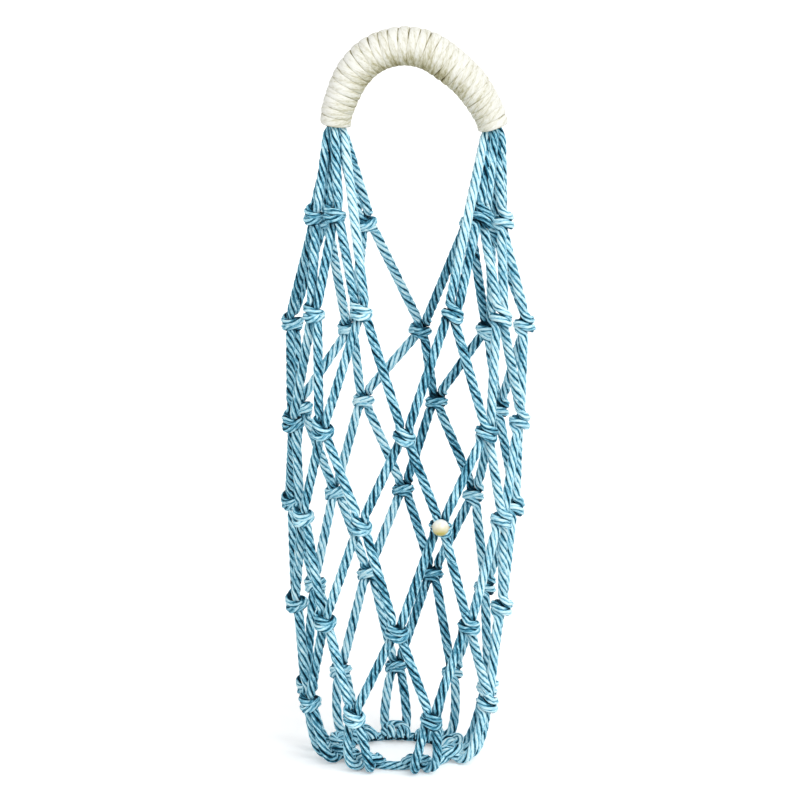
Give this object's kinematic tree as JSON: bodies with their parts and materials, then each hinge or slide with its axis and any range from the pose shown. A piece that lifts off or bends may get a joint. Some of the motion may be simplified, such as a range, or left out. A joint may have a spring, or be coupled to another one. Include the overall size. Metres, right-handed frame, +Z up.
{
  "type": "bottle carrier",
  "caption": "Hand-knotted cord net that holds an upright bottle, gathered at both sides under an arched handle wound with a second cord.",
  "frame": {"origin": "on the table under the middle of the carrier, at the base ring's axis", "axes": "+Z up, along the bottle's axis; -Y towards the front, where the net has its mouth; +X to the right, along the handle's span"},
  "size_m": [0.1072, 0.1072, 0.3113],
  "materials": {
    "blue_cord": "soft twisted cotton",
    "cream_cord": "soft twisted cotton",
    "pearl": "pearly gloss",
    "sewing_thread": "thin cotton thread"
  },
  "bodies": {
    "net": {"base_ring": "blue_cord", "ring_hitches": "blue_cord", "net_cord_1": "blue_cord", "net_cord_2": "blue_cord", "net_cord_3": "blue_cord", "net_cord_4": "blue_cord", "net_cord_5": "blue_cord", "net_cord_6": "blue_cord", "net_cord_7": "blue_cord", "net_cord_8": "blue_cord", "net_cord_9": "blue_cord", "base_knots": "blue_cord", "lower_knots": "blue_cord", "middle_knots": "blue_cord", "upper_knots": "blue_cord", "lid_knots": "blue_cord", "bead_thread": "sewing_thread"},
    "shoulder": {"shoulder_cord_1": "blue_cord", "shoulder_cord_2": "blue_cord", "shoulder_cord_3": "blue_cord", "shoulder_cord_4": "blue_cord", "shoulder_cord_5": "blue_cord", "shoulder_cord_6": "blue_cord", "shoulder_cord_7": "blue_cord", "shoulder_cord_8": "blue_cord", "shoulder_cord_9": "blue_cord", "shoulder_knots_left": "blue_cord", "shoulder_knots_right": "blue_cord"},
    "neck": {"neck_cords_left": "blue_cord", "neck_cords_right": "blue_cord"},
    "handle": {"handle_core": "blue_cord", "handle_wrap": "cream_cord"},
    "bead": {"bead": "pearl"}
  },
  "joints": [
    {"name": "shoulder_turn", "type": "hinge", "parent": "net", "child": "shoulder", "pos_m": [0, 0, 0.2], "axis": [0, 0, 1], "range_deg": [-20, 20], "deforming": ["shoulder_cord_1", "shoulder_cord_2", "shoulder_cord_3", "shoulder_cord_4", "shoulder_cord_5", "shoulder_cord_6", "shoulder_cord_7", "shoulder_cord_8", "shoulder_cord_9"]},
    {"name": "neck_turn", "type": "hinge", "parent": "shoulder", "child": "neck", "pos_m": [0, 0, 0.24], "axis": [0, 0, 1], "range_deg": [-20, 20], "deforming": ["neck_cords_left", "neck_cords_right"]},
    {"name": "handle_fold", "type": "hinge", "parent": "neck", "child": "handle", "pos_m": [0.0027, 0, 0.268], "axis": [1, 0, 0], "range_deg": [-90, 90]},
    {"name": "bead_spin", "type": "hinge", "parent": "net", "child": "bead", "pos_m": [0.01636, -0.05076, 0.11159], "axis": [0.9992, -0.0049, -0.0397], "continuous": true}
  ],
  "couplings": [
    {"joint": "neck_turn", "follows": "shoulder_turn", "ratio": 1}
  ]
}
